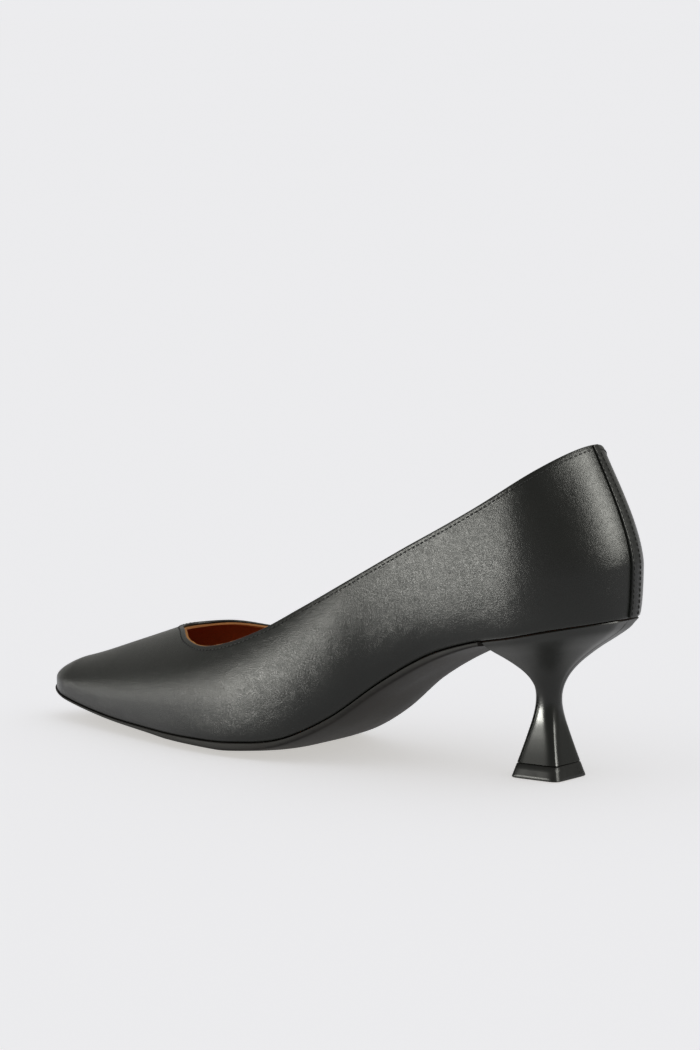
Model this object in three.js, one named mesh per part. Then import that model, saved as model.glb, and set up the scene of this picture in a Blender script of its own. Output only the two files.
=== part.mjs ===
import * as THREE from "three";

// Sizes of the whole shoe, in millimetres. X runs to the toe, Y to the left, Z up from the floor.
const LENGTH = 248.4; // back of the counter to the tip of the toe
const BALL_WIDTH = 76; // feather line to feather line across the ball
const HEEL_HEIGHT = 56.5; // floor to the back edge of the seat
const COLLAR_HEIGHT = 57; // back edge of the seat to the top of the back seam
const HEEL_SET = 32.6; // back of the counter to the middle of the heel

// How far the plan rounds off at its two ends, as shares of the length
const TOE_ROUND = 0.055;
const BACK_ROUND = 0.14;

// Thicknesses and clearances
const WALL = 2; // leather and lining of the upper
const GAP = 0.3; // room between two neighbouring pieces
const SOLE = 4.8; // middle of the outsole under the ball
const SOLE_LIP = 0.5; // how far the outsole stands out past the feather line
const TREAD_FLAT = 0.45; // share of the half width that stays level under the outsole
const INSOLE = 2;

// Strip over the back seam
const STRIP_WIDTH = 4.6;
const STRIP = 0.7;
const STRIP_FOOT = 0.35; // where the strip begins, as a share of the lower turn of the upper

// Heel
const BREAST = 45; // back of the counter to the front face of the heel
const HEEL_INSET = 1.3; // how far the heel's top edge stays inside the feather line
const HEEL_BASE = 19.6; // width of the tip on the floor
const HEEL_LEVEL = 50; // height of the heel under its own middle
const NECK_DROP = 0.5; // share of that height below which the sections are level
const TIP_HEIGHT = 4.8;
const HEEL_LEAN = 1; // how far the middle of the heel's funnel is set forward

// Sections of the last
// along: share of LENGTH from the back. outer, inner: half widths of the feather line.
// swellOuter, swellInner: how far the side stands out past the feather line. All shares of BALL_WIDTH.
// seat: height of the feather line. arch: how much higher it is on the inner side. Shares of HEEL_HEIGHT.
// belly: height of the widest line above the feather line. crown: height of the ridge. Shares of COLLAR_HEIGHT.
// ridge: how far the ridge lies to the inner side, share of BALL_WIDTH. round: 2 is an ellipse, less is flatter.
// sole: thickness of the outsole along its middle. lift: how much thinner it is at its edge. Shares of SOLE.
const LAST_COLUMNS = ["along", "outer", "inner", "swellOuter", "swellInner", "seat", "arch", "belly", "crown",
  "ridge", "round", "sole", "lift"];
const LAST_ROWS = [
  [0.00, 0.300, 0.300, 0.017, 0.017, 1.000, 0.000, 0.300, 2.03, 0.000, 1.6, 0.30, 0.05],
  [0.06, 0.312, 0.312, 0.026, 0.026, 0.952, 0.000, 0.300, 2.20, 0.000, 1.6, 0.30, 0.05],
  [0.13, 0.318, 0.312, 0.035, 0.035, 0.884, 0.000, 0.300, 2.55, 0.010, 1.8, 0.36, 0.08],
  [0.20, 0.306, 0.288, 0.050, 0.050, 0.820, 0.010, 0.300, 2.55, 0.015, 2.0, 0.45, 0.12],
  [0.27, 0.300, 0.262, 0.058, 0.060, 0.715, 0.030, 0.300, 2.25, 0.025, 2.0, 0.75, 0.22],
  [0.34, 0.330, 0.250, 0.056, 0.068, 0.533, 0.055, 0.300, 1.92, 0.045, 2.0, 0.85, 0.31],
  [0.41, 0.395, 0.285, 0.048, 0.065, 0.303, 0.050, 0.290, 1.62, 0.060, 2.0, 0.92, 0.42],
  [0.48, 0.448, 0.352, 0.036, 0.052, 0.152, 0.028, 0.270, 1.34, 0.070, 2.0, 0.92, 0.46],
  [0.56, 0.476, 0.445, 0.024, 0.034, 0.098, 0.000, 0.235, 1.08, 0.075, 2.0, 0.98, 0.42],
  [0.65, 0.448, 0.482, 0.017, 0.020, 0.086, 0.000, 0.190, 0.86, 0.070, 2.0, 1.00, 0.50],
  [0.75, 0.362, 0.430, 0.012, 0.014, 0.091, 0.000, 0.145, 0.685, 0.060, 2.0, 0.88, 0.62],
  [0.85, 0.258, 0.335, 0.008, 0.008, 0.109, 0.000, 0.100, 0.53, 0.050, 2.0, 0.72, 0.56],
  [0.93, 0.170, 0.250, 0.004, 0.004, 0.147, 0.000, 0.070, 0.412, 0.045, 2.0, 0.60, 0.47],
  [1.00, 0.090, 0.170, 0.000, 0.000, 0.201, 0.000, 0.050, 0.332, 0.040, 2.0, 0.50, 0.37],
];

// Top edge of the upper
// along: share of LENGTH. outer, inner: height above the floor on each side, as a share of
// HEEL_HEIGHT and COLLAR_HEIGHT together.
const EDGE_COLUMNS = ["along", "outer", "inner"];
const EDGE_ROWS = [
  [0.00, 1.078, 1.078],
  [0.05, 1.010, 1.010],
  [0.10, 0.930, 0.930],
  [0.16, 0.842, 0.842],
  [0.31, 0.659, 0.659],
  [0.46, 0.469, 0.466],
  [0.53, 0.387, 0.379],
  [0.59, 0.338, 0.324],
  [0.64, 0.3170, 0.3040],
  [0.69, 0.3230, 0.3165],
  [0.73, 0.3370, 0.3350],
  [0.76, 0.3335, 0.3335],
  [0.80, 0.3300, 0.3300],
];

// Sections of the heel
// drop: share of the way from the seat to the floor. spread: share of the seat's own outline.
// half: half width of the section that the outline fades into, share of HEEL_BASE. square: 2 is a circle.
const HEEL_COLUMNS = ["drop", "spread", "half", "square"];
const HEEL_ROWS = [
  [0.00, 1.00, 0.225, 2.0],
  [0.05, 0.91, 0.225, 2.0],
  [0.10, 0.75, 0.220, 2.0],
  [0.15, 0.57, 0.218, 2.0],
  [0.20, 0.41, 0.216, 2.0],
  [0.25, 0.27, 0.215, 2.0],
  [0.30, 0.16, 0.215, 2.0],
  [0.36, 0.07, 0.216, 2.0],
  [0.43, 0.015, 0.218, 2.0],
  [0.50, 0.00, 0.222, 2.2],
  [0.60, 0.00, 0.250, 3.0],
  [0.70, 0.00, 0.300, 4.5],
  [0.80, 0.00, 0.360, 6.0],
  [0.90, 0.00, 0.428, 7.0],
  [1.00, 0.00, 0.500, 8.0],
];

// How many points each surface gets
const BACK_STEPS = 9; // ribs round the back
const SIDE_STEPS = 20; // ribs along each side
const THROAT_STEPS = 7; // ribs close to the point of the throat
const THROAT_ZONE = 0.06; // share of the length that these take up
const VAMP_STEPS = 9; // ribs over the toe box
const TOE_STEPS = 7; // ribs round the toe
const TURN_ROWS = 3; // rows up the lower turn
const OUTSIDE_ROWS = 9; // rows above it, outside
const INSIDE_ROWS = 6; // rows above it, inside
const PLATE_ROWS = 4; // rows from the middle to the edge of a sole
const HEEL_SIDES = 44;
const BREAST_SIDES = 10;
const HEEL_STEPS = 20;
const CAP_ROWS = 3;
const TIP_STEPS = 3;
const STRIP_COLUMNS = 4; // faces across the back strip
const STRIP_ROWS = 14; // faces up the back strip
const SEAT_LIMIT = 60; // mm from the heel's middle, past every edge of its seat
const POINTS_PER_MM = 2000; // corners closer than this share one point
const TINY = 1e-9;

const HALF_TURN = Math.PI / 2;

// Value of one column of a table, by a cubic through its rows
function fromTable(columns, rows, name, at) {
  const key = 0;
  const value = columns.indexOf(name);
  const last = rows.length - 1;
  const t = Math.min(Math.max(at, rows[0][key]), rows[last][key]);
  let i = 0;
  while (i < last - 1 && rows[i + 1][key] < t) {
    i += 1;
  }
  const step = (k) => rows[k + 1][key] - rows[k][key];
  const rate = (k) => (rows[k + 1][value] - rows[k][value]) / step(k);
  const slope = (k) => {
    if (k === 0) {
      return rate(0);
    }
    if (k === last) {
      return rate(last - 1);
    }
    return (rate(k - 1) * step(k) + rate(k) * step(k - 1)) / (step(k - 1) + step(k));
  };
  const h = step(i);
  const s = (t - rows[i][key]) / h;
  const s2 = s * s;
  const s3 = s2 * s;
  return (2 * s3 - 3 * s2 + 1) * rows[i][value] + (s3 - 2 * s2 + s) * h * slope(i)
    + (3 * s2 - 2 * s3) * rows[i + 1][value] + (s3 - s2) * h * slope(i + 1);
}

function last(name, along) {
  return fromTable(LAST_COLUMNS, LAST_ROWS, name, along);
}

// Height of the bed that the upper, insole, outsole and heel all share
function bed(x, y) {
  const along = x / LENGTH;
  const rise = y < 0 ? (y / (last("inner", along) * BALL_WIDTH)) ** 2 : 0;
  return (last("seat", along) + last("arch", along) * rise) * HEEL_HEIGHT;
}

// Rib of the last in plan: its foot on the feather line and its direction towards the ridge
function ribAt(side, along) {
  const toe = Math.max(along - (1 - TOE_ROUND), 0) / TOE_ROUND;
  const back = Math.max(BACK_ROUND - along, 0) / BACK_ROUND;
  const spread = Math.sqrt(Math.max(1 - Math.max(toe, back) ** 2, 0));
  const outer = last("outer", along);
  const inner = last("inner", along);
  const middle = along > 0.5 ? (outer - inner) / 2 : 0;
  const edge = side > 0 ? outer : -inner;
  const x = along * LENGTH;
  const y = (middle + (edge - middle) * spread) * BALL_WIDTH;
  const hub = Math.min(Math.max(along, BACK_ROUND), 1 - TOE_ROUND);
  const hubX = hub * LENGTH;
  const hubY = -last("ridge", hub) * BALL_WIDTH;
  const width = Math.hypot(x - hubX, y - hubY);
  return {
    side,
    along,
    hubX,
    hubY,
    width,
    goX: (x - hubX) / width,
    goY: (y - hubY) / width,
    swell: last(side > 0 ? "swellOuter" : "swellInner", along) * BALL_WIDTH,
    widest: bed(x, y) + last("belly", along) * COLLAR_HEIGHT,
    power: 2 / last("round", along),
  };
}

// Point on a rib in plan, at a distance from its hub
function onRib(rib, reach) {
  return [rib.hubX + rib.goX * reach, rib.hubY + rib.goY * reach];
}

// Point of the last's side: turn 0 is the feather line, 1 the widest line and 2 the ridge.
// inset moves it inwards through the wall.
function sidePoint(rib, turn, inset) {
  const foot = rib.width - inset;
  if (turn <= 1) {
    const angle = turn * HALF_TURN;
    const [x, y] = onRib(rib, foot + rib.swell * Math.sin(angle));
    const start = bed(...onRib(rib, foot));
    return [x, y, start + (rib.widest - start) * (1 - Math.cos(angle))];
  }
  const angle = (turn - 1) * HALF_TURN;
  const reach = turn >= 2 ? 0 : (foot + rib.swell) * Math.cos(angle) ** rib.power;
  const [x, y] = onRib(rib, reach);
  const crown = last("crown", x / LENGTH) * COLLAR_HEIGHT - inset;
  return [x, y, rib.widest + (crown - rib.widest) * Math.sin(angle) ** rib.power];
}

function edgeHeight(side, x) {
  const name = side > 0 ? "outer" : "inner";
  return fromTable(EDGE_COLUMNS, EDGE_ROWS, name, x / LENGTH) * (HEEL_HEIGHT + COLLAR_HEIGHT);
}

// Halves an interval until it holds the place where test turns true
function findTurn(low, high, test) {
  let a = low;
  let b = high;
  for (let k = 0; k < 50; k += 1) {
    const middle = (a + b) / 2;
    if (test(middle)) {
      b = middle;
    } else {
      a = middle;
    }
  }
  return (a + b) / 2;
}

// Point of the throat, where the top edge meets the ridge
const THROAT = findTurn(0.7, 0.8, (a) => last("crown", a) * COLLAR_HEIGHT < edgeHeight(1, a * LENGTH));

// How far up its rib the upper reaches
function topTurn(rib) {
  if (rib.along >= THROAT) {
    return 2;
  }
  return findTurn(1, 2, (turn) => {
    const [x, , z] = sidePoint(rib, turn, 0);
    return z > edgeHeight(rib.side, x);
  });
}

// Where the ribs stand along the shoe
function ribPlaces() {
  const places = [];
  for (let k = 0; k < BACK_STEPS; k += 1) {
    places.push(BACK_ROUND * (1 - Math.cos((k / BACK_STEPS) * HALF_TURN)));
  }
  const near = THROAT - THROAT_ZONE;
  for (let k = 0; k < SIDE_STEPS; k += 1) {
    places.push(BACK_ROUND + (near - BACK_ROUND) * (k / SIDE_STEPS));
  }
  for (let k = 0; k < THROAT_STEPS; k += 1) {
    places.push(THROAT - THROAT_ZONE * (1 - k / THROAT_STEPS) ** 2);
  }
  const toe = 1 - TOE_ROUND;
  for (let k = 0; k < VAMP_STEPS; k += 1) {
    places.push(THROAT + (toe - THROAT) * (k / VAMP_STEPS));
  }
  for (let k = 0; k <= TOE_STEPS; k += 1) {
    places.push(toe + TOE_ROUND * Math.sin((k / TOE_STEPS) * HALF_TURN));
  }
  return places;
}

// Collects corners and triangles of one closed body
class Body {
  constructor() {
    this.corners = [];
    this.known = new Map();
    this.faces = [];
  }

  corner(point) {
    const key = point.map((v) => Math.round(v * POINTS_PER_MM)).join(",");
    if (!this.known.has(key)) {
      this.known.set(key, this.corners.length);
      this.corners.push(point);
    }
    return this.known.get(key);
  }

  face(a, b, c) {
    const i = this.corner(a);
    const j = this.corner(b);
    const k = this.corner(c);
    if (i !== j && j !== k && k !== i) {
      this.faces.push([i, j, k]);
    }
  }

  // Sheet of points in rows; flip turns it round
  sheet(rows, flip) {
    for (let i = 0; i + 1 < rows.length; i += 1) {
      for (let j = 0; j + 1 < rows[i].length; j += 1) {
        const a = rows[i][j];
        const b = rows[i + 1][j];
        const c = rows[i + 1][j + 1];
        const d = rows[i][j + 1];
        if (flip) {
          this.face(a, c, b);
          this.face(a, d, c);
        } else {
          this.face(a, b, c);
          this.face(a, c, d);
        }
      }
    }
  }

  geometry() {
    let volume = 0;
    for (const [i, j, k] of this.faces) {
      const [ax, ay, az] = this.corners[i];
      const [bx, by, bz] = this.corners[j];
      const [cx, cy, cz] = this.corners[k];
      volume += ax * (by * cz - bz * cy) + ay * (bz * cx - bx * cz) + az * (bx * cy - by * cx);
    }
    const index = [];
    for (const [i, j, k] of this.faces) {
      index.push(i, volume > 0 ? j : k, volume > 0 ? k : j);
    }
    const geometry = new THREE.BufferGeometry();
    geometry.setAttribute("position", new THREE.Float32BufferAttribute(this.corners.flat(), 3));
    geometry.setIndex(index);
    geometry.translate(-HEEL_SET, 0, 0);
    geometry.computeVertexNormals();
    return geometry;
  }
}

// Upper: one wall from the feather line to the top edge, closed over the toe
function upperGeometry() {
  const body = new Body();
  const places = ribPlaces();
  for (const side of [1, -1]) {
    const outside = [];
    const inside = [];
    for (const along of places) {
      const rib = ribAt(side, along);
      const top = topTurn(rib);
      const climb = (rows, inset) => {
        const column = [];
        for (let k = 0; k < TURN_ROWS; k += 1) {
          column.push(sidePoint(rib, k / TURN_ROWS, inset));
        }
        for (let k = 0; k <= rows; k += 1) {
          column.push(sidePoint(rib, 1 + (top - 1) * (k / rows), inset));
        }
        return column;
      };
      outside.push(climb(OUTSIDE_ROWS, 0));
      inside.push(climb(INSIDE_ROWS, WALL));
    }
    const flip = side < 0;
    body.sheet(outside, flip);
    body.sheet(inside, !flip);
    body.sheet(outside.map((column, i) => [inside[i][0], column[0]]), flip);
    const open = places.findIndex((along) => along >= THROAT);
    const rim = outside.map((column, i) => [column[column.length - 1], inside[i][inside[i].length - 1]]);
    body.sheet(rim.slice(0, open + 1), flip);
  }
  return body.geometry();
}

// Strip over the back seam, following the upper from its foot to the top edge
function stripGeometry() {
  const body = new Body();
  const half = Math.asin(STRIP_WIDTH / 2 / (last("outer", 0) * BALL_WIDTH));
  const columns = STRIP_COLUMNS;
  const rows = STRIP_ROWS;
  const skin = (inset) => {
    const sheet = [];
    for (let i = -columns; i <= columns; i += 1) {
      const side = i < 0 ? -1 : 1;
      const rib = ribAt(side, BACK_ROUND * (1 - Math.cos((half * Math.abs(i)) / columns)));
      const top = topTurn(rib);
      const column = [];
      for (let j = 0; j <= rows; j += 1) {
        column.push(sidePoint(rib, STRIP_FOOT + (top - STRIP_FOOT) * (j / rows), inset));
      }
      sheet.push(column);
    }
    return sheet;
  };
  const near = skin(-GAP);
  const far = skin(-GAP - STRIP);
  const end = near.length - 1;
  body.sheet(far, false);
  body.sheet(near, true);
  body.sheet([near[0], far[0]], false);
  body.sheet([far[end], near[end]], false);
  body.sheet(near.map((column, i) => [column[0], far[i][0]]), false);
  body.sheet(near.map((column, i) => [far[i][rows], column[rows]]), false);
  return body.geometry();
}

// Plate between two height functions, out to a reach on every rib
function plateBody(places, shares, reachOf, topOf, bottomOf) {
  const body = new Body();
  for (const side of [1, -1]) {
    const top = [];
    const bottom = [];
    for (const along of places) {
      const rib = ribAt(side, along);
      const reach = reachOf(rib);
      top.push(shares.map((share) => {
        const [x, y] = onRib(rib, reach * share);
        return [x, y, topOf(x, y, share)];
      }));
      bottom.push(shares.map((share) => {
        const [x, y] = onRib(rib, reach * share);
        return [x, y, bottomOf(x, y, share)];
      }));
    }
    const flip = side < 0;
    const rim = shares.length - 1;
    body.sheet(top, !flip);
    body.sheet(bottom, flip);
    body.sheet(top.map((column, i) => [bottom[i][rim], column[rim]]), flip);
    if (places[0] > 0) {
      body.sheet([bottom[0], top[0]], !flip);
    }
  }
  return body;
}

// Insole: lies inside the walls, on the outsole and the heel
function insoleGeometry() {
  const shares = [0, 0.35, 0.7, 1];
  const reachOf = (rib) => rib.width - WALL - GAP;
  return plateBody(ribPlaces(), shares, reachOf, (x, y) => bed(x, y) + INSOLE, bed).geometry();
}

// Outsole: from the breast of the heel to the toe, level under the ball
function outsoleGeometry() {
  const start = (BREAST + GAP) / LENGTH;
  const places = [start, ...ribPlaces().filter((along) => along > start + 0.01)];
  const shares = [0, TREAD_FLAT];
  for (let k = 1; k <= PLATE_ROWS; k += 1) {
    shares.push(TREAD_FLAT + (1 - TREAD_FLAT) * (k / PLATE_ROWS));
  }
  const reachOf = (rib) => rib.width + SOLE_LIP;
  const under = (x, y, share) => {
    const along = x / LENGTH;
    const middle = Math.max(bed(x, y) - GAP - SOLE * last("sole", along), 0);
    const turn = Math.max(share - TREAD_FLAT, 0) / (1 - TREAD_FLAT);
    return middle + SOLE * last("lift", along) * turn ** 2;
  };
  return plateBody(places, shares, reachOf, (x, y) => bed(x, y) - GAP, under).geometry();
}

// Distance from the heel's middle to the edge of its top, towards an angle
function seatReach(angle) {
  const dx = Math.cos(angle);
  const dy = Math.sin(angle);
  const front = dx > 0 ? (BREAST - HEEL_SET) / dx : Infinity;
  const side = dy < 0 ? -1 : 1;
  const outside = (reach) => {
    const x = HEEL_SET + dx * reach;
    const y = dy * reach;
    const rib = ribAt(side, Math.max(x / LENGTH, 0));
    const [edgeX, edgeY] = onRib(rib, rib.width - HEEL_INSET);
    return x < HEEL_INSET || (x >= edgeX - HEEL_INSET && Math.abs(y) > Math.abs(edgeY));
  };
  return Math.min(front, findTurn(0, SEAT_LIMIT, outside));
}

function heelTable(name, drop) {
  return fromTable(HEEL_COLUMNS, HEEL_ROWS, name, drop);
}

// Angles round the heel, with one exactly at each corner of its front face
function heelAngles() {
  const front = BREAST - HEEL_SET - TINY;
  const corner = findTurn(0.5, 1.5, (angle) => seatReach(angle) * Math.cos(angle) < front);
  const angles = [];
  for (let k = 0; k < BREAST_SIDES; k += 1) {
    angles.push(-corner + (2 * corner * k) / BREAST_SIDES);
  }
  for (let k = 0; k < HEEL_SIDES; k += 1) {
    angles.push(corner + ((2 * Math.PI - 2 * corner) * k) / HEEL_SIDES);
  }
  return angles;
}

// One corner of a heel section
function heelPoint(angle, reach, drop) {
  const dx = Math.cos(angle);
  const dy = Math.sin(angle);
  const spread = heelTable("spread", drop);
  const square = heelTable("square", drop);
  const plain = (heelTable("half", drop) * HEEL_BASE)
    / (Math.abs(dx) ** square + Math.abs(dy) ** square) ** (1 / square);
  const size = spread * reach + (1 - spread) * plain;
  const top = bed(HEEL_SET + dx * reach, dy * reach) - GAP;
  const slant = Math.max(1 - drop / NECK_DROP, 0) ** 2;
  const lean = 4 * HEEL_LEAN * spread * (1 - spread);
  return [HEEL_SET + lean + dx * size, dy * size, HEEL_LEVEL * (1 - drop) + (top - HEEL_LEVEL) * slant];
}

// Heel block: the seat's outline drawn in to a neck, then flared out again
function heelGeometry() {
  const body = new Body();
  const angles = heelAngles();
  const reaches = angles.map(seatReach);
  const foot = 1 - (TIP_HEIGHT + GAP) / HEEL_LEVEL;
  const ring = (make) => {
    const points = angles.map((angle, i) => make(angle, reaches[i]));
    points.push(points[0]);
    return points;
  };
  const rings = [];
  for (let k = 0; k <= CAP_ROWS; k += 1) {
    rings.push(ring((angle, reach) => {
      const x = HEEL_SET + Math.cos(angle) * reach * (k / CAP_ROWS);
      const y = Math.sin(angle) * reach * (k / CAP_ROWS);
      return [x, y, bed(x, y) - GAP];
    }));
  }
  for (let k = 1; k <= HEEL_STEPS; k += 1) {
    const share = k / HEEL_STEPS;
    rings.push(ring((angle, reach) => heelPoint(angle, reach, foot * share)));
  }
  rings.push(ring(() => [HEEL_SET, 0, HEEL_LEVEL * (1 - foot)]));
  body.sheet(rings, false);
  return body.geometry();
}

// Tip under the heel
function tipGeometry() {
  const body = new Body();
  const angles = heelAngles();
  const ring = (make) => {
    const points = angles.map(make);
    points.push(points[0]);
    return points;
  };
  const rings = [ring(() => [HEEL_SET, 0, TIP_HEIGHT])];
  for (let k = 0; k <= TIP_STEPS; k += 1) {
    const height = TIP_HEIGHT * (1 - k / TIP_STEPS);
    rings.push(ring((angle) => heelPoint(angle, 0, 1 - height / HEEL_LEVEL)));
  }
  rings.push(ring(() => [HEEL_SET, 0, 0]));
  body.sheet(rings, false);
  return body.geometry();
}

function piece(name, geometry, color, roughness) {
  const material = new THREE.MeshStandardMaterial({ name: `${name}_finish`, color, roughness });
  const mesh = new THREE.Mesh(geometry, material);
  mesh.name = name;
  return mesh;
}

const shoe = new THREE.Group();
shoe.name = "heeled_pump";
shoe.add(piece("upper", upperGeometry(), 0x1c1d1c, 0.42));
shoe.add(piece("back_strip", stripGeometry(), 0x1d1e1d, 0.42));
shoe.add(piece("insole", insoleGeometry(), 0x7a4a33, 0.7));
shoe.add(piece("outsole", outsoleGeometry(), 0x262321, 0.55));
shoe.add(piece("heel", heelGeometry(), 0x1b1c1c, 0.3));
shoe.add(piece("heel_tip", tipGeometry(), 0x141414, 0.6));

export default shoe;
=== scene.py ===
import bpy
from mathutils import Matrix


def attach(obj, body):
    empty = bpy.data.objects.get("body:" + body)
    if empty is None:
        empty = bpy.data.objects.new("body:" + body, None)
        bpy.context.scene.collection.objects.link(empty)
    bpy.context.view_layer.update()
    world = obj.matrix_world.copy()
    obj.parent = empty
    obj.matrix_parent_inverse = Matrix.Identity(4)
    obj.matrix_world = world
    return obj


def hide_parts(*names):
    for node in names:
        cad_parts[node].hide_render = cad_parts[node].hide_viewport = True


bl_info = {
    "name": "Court shoe dressing",
    "version": (1, 0, 0),
    "blender": (4, 5, 0),
    "location": "View3D > Sidebar > Shoe",
    "description": "Leather, lining, stitches, sole and heel of a court shoe over its solid model",
    "category": "Object",
}

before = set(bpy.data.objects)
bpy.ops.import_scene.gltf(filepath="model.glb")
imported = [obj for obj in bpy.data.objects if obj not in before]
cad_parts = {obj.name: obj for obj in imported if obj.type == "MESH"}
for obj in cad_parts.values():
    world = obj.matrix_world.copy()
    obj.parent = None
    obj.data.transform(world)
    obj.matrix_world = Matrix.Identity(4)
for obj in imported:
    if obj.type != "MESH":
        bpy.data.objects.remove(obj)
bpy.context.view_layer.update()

import math

import bmesh
import bpy
import numpy as np
from bpy.props import FloatProperty, FloatVectorProperty, PointerProperty
from mathutils import Matrix, Vector
from mathutils.bvhtree import BVHTree

MM = 0.001
HALF_TURN = math.pi / 2

# Sizes of the shoe, the same as in the solid model: lengths in millimetres, and shares of them
LENGTH = 248.4
BALL_WIDTH = 76
HEEL_HEIGHT = 56.5
COLLAR_HEIGHT = 57
HEEL_SET = 32.6
TOE_ROUND = 0.055
BACK_ROUND = 0.14
WALL = 2
GAP = 0.3
SOLE = 4.8
SOLE_LIP = 0.5
TREAD_FLAT = 0.45
INSOLE = 2
STRIP_WIDTH = 4.6
STRIP = 0.7
STRIP_FOOT = 0.35
BREAST = 45
HEEL_INSET = 1.3
HEEL_BASE = 19.6
HEEL_LEVEL = 50
NECK_DROP = 0.5
TIP_HEIGHT = 4.8
HEEL_LEAN = 1
STRIP_END = 0.1
THROAT_ZONE = 0.06
SEAT_LIMIT = 60

# Numbers that only guard the sums
TINY = 1e-9
NEARLY = 1e-6
FAR = 1e6
HALVINGS = 45

# Ribs of each piece: over the back, along the side, up to the throat, over the vamp, over the toe
UPPER_RIBS = (26, 110, 34, 30, 22)
LINING_RIBS = (22, 90, 30, 24, 16)
CUT_EDGE_RIBS = (40, 200, 60, 2, 2)
STITCH_RIBS = (40, 120, 40, 2, 2)
SOCK_RIBS = (18, 70, 20, 20, 14)
SOLE_RIBS = (18, 90, 20, 26, 18)

# Points that lie closer than this are joined, and edges shorter than this are closed, in millimetres
WELD = 0.01
SHORTEST_EDGE = 0.002

# Edges that turn by more than this stay hard, in degrees
SHARP = 50
HEEL_SHARP = 38

# Groove at the back seam of the heel cover: its points round the heel from the back, and the zone
# cleared for them, in radians; its width in radians, its depth in millimetres, and the share of the
# heel's height where it ends and over which it fades
SEAM_ANGLES = np.array([-0.03, -0.02, -0.012, -0.006, 0, 0.006, 0.012, 0.02, 0.03])
SEAM_ZONE = 0.035
SEAM_WIDTH = 0.010
SEAM_DEPTH = 0.22
SEAM_END = 0.52
SEAM_FADE = 0.06

# Sections of the last, as shares of the named sizes
LAST_COLUMNS = ["along", "outer", "inner", "swell_outer", "swell_inner", "seat", "arch", "belly",
                "crown", "ridge", "round", "sole", "lift"]
LAST_ROWS = [
    [0.00, 0.300, 0.300, 0.017, 0.017, 1.000, 0.000, 0.300, 2.03, 0.000, 1.6, 0.30, 0.05],
    [0.06, 0.312, 0.312, 0.026, 0.026, 0.952, 0.000, 0.300, 2.20, 0.000, 1.6, 0.30, 0.05],
    [0.13, 0.318, 0.312, 0.035, 0.035, 0.884, 0.000, 0.300, 2.55, 0.010, 1.8, 0.36, 0.08],
    [0.20, 0.306, 0.288, 0.050, 0.050, 0.820, 0.010, 0.300, 2.55, 0.015, 2.0, 0.45, 0.12],
    [0.27, 0.300, 0.262, 0.058, 0.060, 0.715, 0.030, 0.300, 2.25, 0.025, 2.0, 0.75, 0.22],
    [0.34, 0.330, 0.250, 0.056, 0.068, 0.533, 0.055, 0.300, 1.92, 0.045, 2.0, 0.85, 0.31],
    [0.41, 0.395, 0.285, 0.048, 0.065, 0.303, 0.050, 0.290, 1.62, 0.060, 2.0, 0.92, 0.42],
    [0.48, 0.448, 0.352, 0.036, 0.052, 0.152, 0.028, 0.270, 1.34, 0.070, 2.0, 0.92, 0.46],
    [0.56, 0.476, 0.445, 0.024, 0.034, 0.098, 0.000, 0.235, 1.08, 0.075, 2.0, 0.98, 0.42],
    [0.65, 0.448, 0.482, 0.017, 0.020, 0.086, 0.000, 0.190, 0.86, 0.070, 2.0, 1.00, 0.50],
    [0.75, 0.362, 0.430, 0.012, 0.014, 0.091, 0.000, 0.145, 0.685, 0.060, 2.0, 0.88, 0.62],
    [0.85, 0.258, 0.335, 0.008, 0.008, 0.109, 0.000, 0.100, 0.53, 0.050, 2.0, 0.72, 0.56],
    [0.93, 0.170, 0.250, 0.004, 0.004, 0.147, 0.000, 0.070, 0.412, 0.045, 2.0, 0.60, 0.47],
    [1.00, 0.090, 0.170, 0.000, 0.000, 0.201, 0.000, 0.050, 0.332, 0.040, 2.0, 0.50, 0.37],
]

# Top edge of the upper: height on the outer and inner side, as shares of heel and collar together
EDGE_COLUMNS = ["along", "outer", "inner"]
EDGE_ROWS = [
    [0.00, 1.078, 1.078],
    [0.05, 1.010, 1.010],
    [0.10, 0.930, 0.930],
    [0.16, 0.842, 0.842],
    [0.31, 0.659, 0.659],
    [0.46, 0.469, 0.466],
    [0.53, 0.387, 0.379],
    [0.59, 0.338, 0.324],
    [0.64, 0.3170, 0.3040],
    [0.69, 0.3230, 0.3165],
    [0.73, 0.3370, 0.3350],
    [0.76, 0.3335, 0.3335],
    [0.80, 0.3300, 0.3300],
]

# Sections of the heel from the seat down: how far each spreads to the seat's outline, half its
# width as a share of the tip's, and how square it is
HEEL_COLUMNS = ["drop", "spread", "half", "square"]
HEEL_ROWS = [
    [0.00, 1.00, 0.225, 2.0],
    [0.05, 0.91, 0.225, 2.0],
    [0.10, 0.75, 0.220, 2.0],
    [0.15, 0.57, 0.218, 2.0],
    [0.20, 0.41, 0.216, 2.0],
    [0.25, 0.27, 0.215, 2.0],
    [0.30, 0.16, 0.215, 2.0],
    [0.36, 0.07, 0.216, 2.0],
    [0.43, 0.015, 0.218, 2.0],
    [0.50, 0.00, 0.222, 2.2],
    [0.60, 0.00, 0.250, 3.0],
    [0.70, 0.00, 0.300, 4.5],
    [0.80, 0.00, 0.360, 6.0],
    [0.90, 0.00, 0.428, 7.0],
    [1.00, 0.00, 0.500, 8.0],
]

# Camera, as fitted to the photograph.
CAMERA_AZIMUTH = 216.5
CAMERA_ELEVATION = 7.0
CAMERA_DISTANCE = 1.5
CAMERA_AIM = (0.0830, 0.0, 0.0788)
CAMERA_LENS = 149.1


# Shapes

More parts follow.
